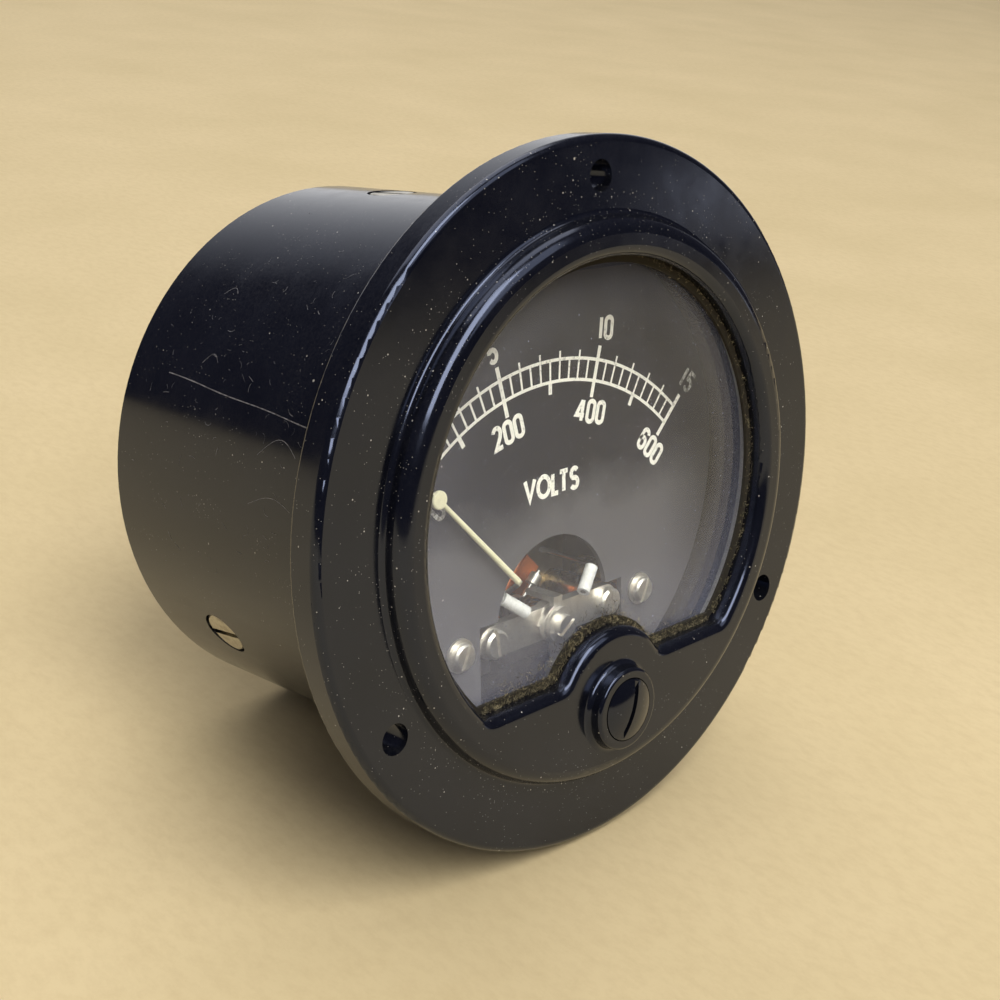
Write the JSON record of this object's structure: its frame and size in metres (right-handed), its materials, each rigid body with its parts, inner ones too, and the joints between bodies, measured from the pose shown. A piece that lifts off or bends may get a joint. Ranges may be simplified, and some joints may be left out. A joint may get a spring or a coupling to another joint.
{
  "type": "panel galvanometer voltmeter",
  "caption": "Round flush panel voltmeter: black flanged case, D-shaped window, slotted zero adjuster and a jewelled moving-coil galvanometer movement.",
  "frame": {"origin": "centre of the mounting-hole circle in the flange's back face, on the barrel's axis", "axes": "-Y out of the dial towards the reader, +Y along the barrel to the terminals, +Z towards twelve o'clock, +X to the reader's right"},
  "size_m": [0.0888, 0.076, 0.0888],
  "materials": {
    "case_moulding": "polished black phenolic moulding, lightly scuffed and dusty",
    "base_moulding": "black phenolic moulding, satin",
    "adjuster_moulding": "polished black phenolic",
    "spring_steel": "plain spring steel",
    "window_glass": "clear window glass",
    "gasket_cork": "olive brown fibrous gasket",
    "side_screw_steel": "dull cadmium plated steel",
    "screw_steel": "zinc plated steel",
    "brass": "turned brass",
    "terminal_brass": "nickel plated brass, slightly tarnished",
    "dial_paint": "matt black enamel on aluminium",
    "nickel_plate": "nickel plate",
    "magnet_steel": "dark japanned magnet steel",
    "pole_iron": "ground soft iron",
    "aluminium": "thin drawn aluminium",
    "copper_wire": "enamelled copper wire",
    "pivot_steel": "polished hardened steel",
    "hairspring_bronze": "phosphor bronze strip",
    "pointer_paint": "cream enamel",
    "jewel_stone": "polished sapphire cup",
    "white_sleeving": "white insulating sleeving",
    "frame_brass": "stamped brass plate",
    "bobbin_moulding": "brown phenolic bobbin",
    "resistance_wire": "varnished resistance wire",
    "lead_insulation": "varnished cotton sleeving"
  },
  "bodies": {
    "case": {"case_front": "case_moulding", "rear_base": "base_moulding", "window_glass": "window_glass", "window_gasket": "gasket_cork", "glass_spring_ring": "spring_steel", "side_screws": "side_screw_steel", "base_inserts": "brass", "base_screws": "screw_steel", "terminal_stud_positive": "terminal_brass", "terminal_stud_negative": "terminal_brass", "terminal_washers": "terminal_brass", "lock_washers": "spring_steel", "terminal_nuts": "terminal_brass", "dial_plate": "dial_paint", "dial_posts": "brass", "dial_washers": "nickel_plate", "dial_screws": "nickel_plate", "magnet": "magnet_steel", "pole_piece_left": "pole_iron", "pole_piece_right": "pole_iron", "iron_core": "pole_iron", "core_supports": "brass", "front_bridge": "nickel_plate", "rear_bridge": "nickel_plate", "bridge_posts": "brass", "bridge_screws": "nickel_plate", "front_jewel_screw": "nickel_plate", "rear_jewel_screw": "nickel_plate", "jewels": "jewel_stone", "jewel_locknuts": "nickel_plate", "lever_collar": "nickel_plate", "pointer_stop_wires": "pivot_steel", "pointer_stop_sleeves": "white_sleeving", "movement_frame": "frame_brass", "frame_posts": "brass", "resistor_bobbins": "bobbin_moulding", "resistor_windings": "resistance_wire", "lead_wires": "lead_insulation"},
    "movement": {"coil_former": "aluminium", "coil_winding": "copper_wire", "front_staff": "pivot_steel", "rear_staff": "pivot_steel", "pointer_arm": "aluminium", "pointer_needle": "pointer_paint", "balance_cross": "aluminium", "balance_weights": "nickel_plate", "front_hairspring": "hairspring_bronze", "rear_hairspring": "hairspring_bronze"},
    "adjuster": {"zero_adjuster": "adjuster_moulding", "adjuster_clip": "spring_steel"},
    "lever": {"zero_lever": "nickel_plate"}
  },
  "joints": [
    {"name": "pointer_swing", "type": "hinge", "parent": "case", "child": "movement", "pos_m": [0, 0.0214, -0.0175], "axis": [0, 1, 0], "range_deg": [-3, 91], "stiffness_Nm_per_rad": 0.00002, "deforming": ["front_hairspring", "rear_hairspring"]},
    {"name": "zero_screw_turn", "type": "hinge", "parent": "case", "child": "adjuster", "pos_m": [0, -0.006, -0.0259], "axis": [0, 1, 0], "range_deg": [-30, 30]},
    {"name": "zero_lever_swing", "type": "hinge", "parent": "case", "child": "lever", "pos_m": [0, 0.004, -0.0175], "axis": [0, 1, 0], "range_deg": [-5, 5]}
  ],
  "couplings": [
    {"joint": "zero_lever_swing", "follows": "zero_screw_turn", "ratio": -0.16}
  ]
}
